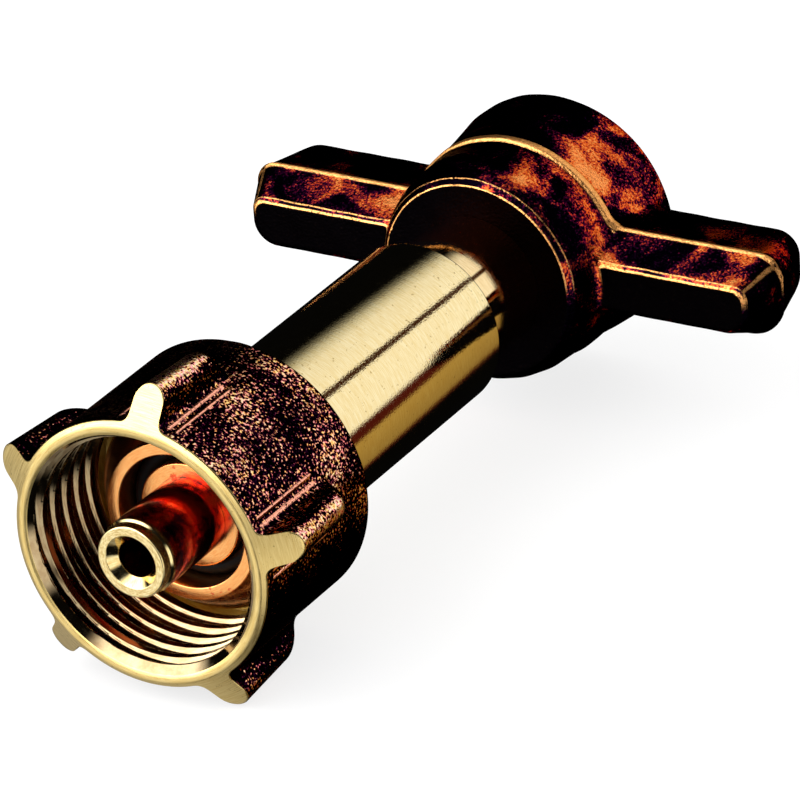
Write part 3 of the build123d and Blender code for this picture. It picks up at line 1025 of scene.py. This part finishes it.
SPINDLE, SPINDLE_NECK, SPINDLE_LAND = 6.5, 6.2, 6.95
SEAL_GROOVE, SPINDLE_TAIL = 5.8, 5.0
GAS_BORE, SCREW_HOLE, CLIP_GROOVE = 3.0, 1.75, 2.3
lathe(
    "spindle_turned",
    [
        (SCREW_HOLE, 22.7), (6.2, 22.7), (SPINDLE, 23.0), (SPINDLE, 28.1),
        (SPINDLE_LAND, 28.1), (SPINDLE_LAND, 28.6), (SEAL_GROOVE, 28.6), (SEAL_GROOVE, 29.75),
        (SPINDLE_LAND, 29.75), (SPINDLE_LAND, 30.15), (SEAL_GROOVE, 30.15), (SEAL_GROOVE, 31.3),
        (SPINDLE_LAND, 31.3), (SPINDLE_LAND, 31.75), (SPINDLE, 31.75), (SPINDLE, 41.4),
        (SPINDLE_NECK, 41.4), (SPINDLE_NECK, 55.6), (SPINDLE_TAIL, 55.6), (SPINDLE_TAIL, 59.2),
        (GAS_BORE, 59.2), (GAS_BORE, 25.8), (0, 25.8, 0), (0, 25.1, 0),
        (SCREW_HOLE, 25.1), (SCREW_HOLE, 24.6), (CLIP_GROOVE, 24.6), (CLIP_GROOVE, 24.0), (SCREW_HOLE, 24.0),
    ],
    "spindle", ["spindle"], [spindle_finish], 180, 0.05,
)

NOZZLE_SOCKET, NOZZLE_SOCKET_END = 2.75, 11.0
SEAL_INNER, SEAL_OUTER, SEAL_BOTTOM, SEAL_FACE = 4.68, 6.0, 10.2, 6.48
TAILPIECE, TAILPIECE_THREAD, TAILPIECE_GROOVE, FILTER_BORE = 9.36, 6.97, 5.8, 3.0
lathe(
    "inlet_tailpiece_turned",
    [
        (NOZZLE_SOCKET, 7.8), (SEAL_INNER, 7.8, 0.15), (SEAL_INNER, SEAL_BOTTOM), (SEAL_OUTER, SEAL_BOTTOM),
        (SEAL_OUTER, SEAL_FACE, 0.12), (7.1, SEAL_FACE, 0.15), (TAILPIECE, 9.48, 0.1), (TAILPIECE, 11.2),
        (TAILPIECE_THREAD, 11.2), (TAILPIECE_THREAD, 12.3),
        (TAILPIECE_GROOVE, 12.3), (TAILPIECE_GROOVE, 13.6),
        (TAILPIECE_THREAD, 13.6), (TAILPIECE_THREAD, 15.4), (4.0, 15.4), (3.6, 16.0), (FILTER_BORE, 16.0),
        (FILTER_BORE, 14.8), (3.3, 14.8), (3.3, 14.2), (FILTER_BORE, 14.2), (FILTER_BORE, 12.0), (2.0, 12.0),
        (2.0, NOZZLE_SOCKET_END), (NOZZLE_SOCKET, NOZZLE_SOCKET_END),
    ],
    "valve_body", ["inlet_tailpiece"], [tailpiece_finish], 200, 0.05,
)

NOZZLE_TIP, NOZZLE_LEAD, NOZZLE, NOZZLE_STUB, NOZZLE_BORE = -1.25, 3.22, 3.42, 2.72, 1.65
lathe(
    "inlet_nozzle_turned",
    [
        (2.4, NOZZLE_TIP, 0.1), (NOZZLE_LEAD, NOZZLE_TIP, 0.18), (NOZZLE_LEAD, -0.35, 0.1),
        (NOZZLE, -0.15, 0.08), (NOZZLE, 7.77, 0), (NOZZLE_STUB, 7.77, 0), (NOZZLE_STUB, 10.9),
        (NOZZLE_BORE, 10.9), (NOZZLE_BORE, -0.5, 0.1),
    ],
    "valve_body", ["inlet_nozzle"], [nozzle_finish], 160, 0.05,
)

lathe(
    "slip_washer_turned",
    [(7.75, 11.25), (10.0, 11.25), (10.0, 12.35), (7.75, 12.35)],
    "slip_washer", ["slip_washer"], [inner_finish], 140, 0.1,
)

# The inner pieces keep their CAD shapes.
for part in frame["record"]["subparts"]:
    node = frame["nodes"][part["node"]]
    if not node.hide_render:
        if not node.material_slots:
            node.data.materials.append(None)
        for slot in node.material_slots:
            slot.material = finishes[part["material_slot"]]


# ---------------------------------------------------------------- floor and light
FLOOR_HALF = 3.0
FLOOR_GAP = 0.4 * MM

floor_z = cad_box[0][2] - FLOOR_GAP
corners = [(-1, -1), (1, -1), (1, 1), (-1, 1)]
floor_mesh = bpy.data.meshes.new("floor")
floor_mesh.from_pydata([(x * FLOOR_HALF, y * FLOOR_HALF, floor_z) for x, y in corners], [], [(0, 1, 2, 3)])
floor = bpy.data.objects.new("floor", floor_mesh)
bpy.context.scene.collection.objects.link(floor)
floor.visible_glossy = False
floor.visible_diffuse = False
paper = Finish("floor_paper", metallic=0.0, specular_ior_level=0.0, emission_strength=0.74)
paper.set("Base Color", paper.mix(paper.noise(60, 3.0), (0.27, 0.27, 0.27), (0.29, 0.29, 0.29)))
paper.set("Emission Color", (1.0, 1.0, 1.0, 1.0))
paper.set("Roughness", 0.9)
floor_mesh.materials.append(paper.material)

BLACK, WHITE = (0.002, 0.002, 0.002), (1.3, 1.3, 1.3)
AMBER, MAROON, BROWN = (0.54, 0.37, 0.11), (0.09, 0.012, 0.008), (0.06, 0.02, 0.008)
FRONT_DARK = 0.006
# The rear half of the surroundings: a colour at each angle round the valve's axis, in degrees.
AROUND = [
    (-180, BLACK), (-66, BLACK), (-62, MAROON), (-58, (0.36, 0.24, 0.07)), (-24, AMBER), (-20, MAROON),
    (-8, MAROON), (-3, WHITE), (45, WHITE), (47.5, BROWN), (53.5, BROWN), (56, WHITE),
    (92, (1.15, 1.15, 1.15)),
    (104, (0.75, 0.75, 0.7)), (114, (0.2, 0.2, 0.18)), (122, BLACK), (180, BLACK),
]
# The front half: soft round cards. Each has its direction, the angles where it is full and gone,
# and its strength.
CARDS = [
    ((-0.5, -0.72, 0.52), 26, 46, 4.2),
    ((0.82, -0.58, -0.12), 12, 26, 1.6),
    ((-0.52, -0.72, -0.46), 10, 24, 1.25),
    ((-0.71, 0.1, -0.69), 28, 46, 0.5),
    ((-0.05, -0.25, -0.97), 10, 25, 0.36),
    ((-0.85, -0.52, 0.05), 10, 24, 1.6),
    ((-0.45, 0.2, 0.85), 12, 27, 1.2),
    ((0.35, -0.83, -0.45), 8, 20, 1.2),
    ((0.16, -0.97, 0.19), 10, 24, 1.2),
]


class Studio(Finish):
    """The surroundings that light the valve and show in its metal."""

    def __init__(self, world):
        world.use_nodes = True
        self.tree = world.node_tree
        self.tree.nodes.clear()
        self.place = self.node("TexCoord", "Generated")

    def card(self, direction, full, gone):
        """A soft round card, 1 inside one angle from its direction and 0 outside the other."""
        toward = self.node(
            "VectorMath", "Value", self.place, Vector(direction).normalized(), operation="DOT_PRODUCT"
        )
        return self.rise(toward, math.cos(math.radians(gone)), math.cos(math.radians(full)))


world = bpy.data.worlds.new("studio")
bpy.context.scene.world = world
studio = Studio(world)
dx, dy, dz = studio.split(studio.place)
turn = studio.math("ARCTAN2", dz, dx) / TAU + 0.5
rear = studio.ramp(turn, [((angle + 180) / 360, colour) for angle, colour in AROUND])
cards = [studio.card(direction, full, gone) * strength for direction, full, gone, strength in CARDS]
front = cards[0]
for card in cards[1:]:
    front = front + card
front = front + FRONT_DARK
light = studio.mix(studio.rise(dy, 0.2, 0.5), studio.join(front, front, front), rear)
light = studio.mix(studio.node("LightPath", "Is Diffuse Ray"), light, (1.05, 1.05, 1.05))
light = studio.mix(studio.node("LightPath", "Is Camera Ray"), light, (1.0, 1.0, 1.0))
surface = studio.node("Background", 0, light, 1.0)
output = studio.tree.nodes.new("ShaderNodeOutputWorld")
studio.put(output.inputs["Surface"], surface)
bpy.context.scene.view_settings.view_transform = "Standard"
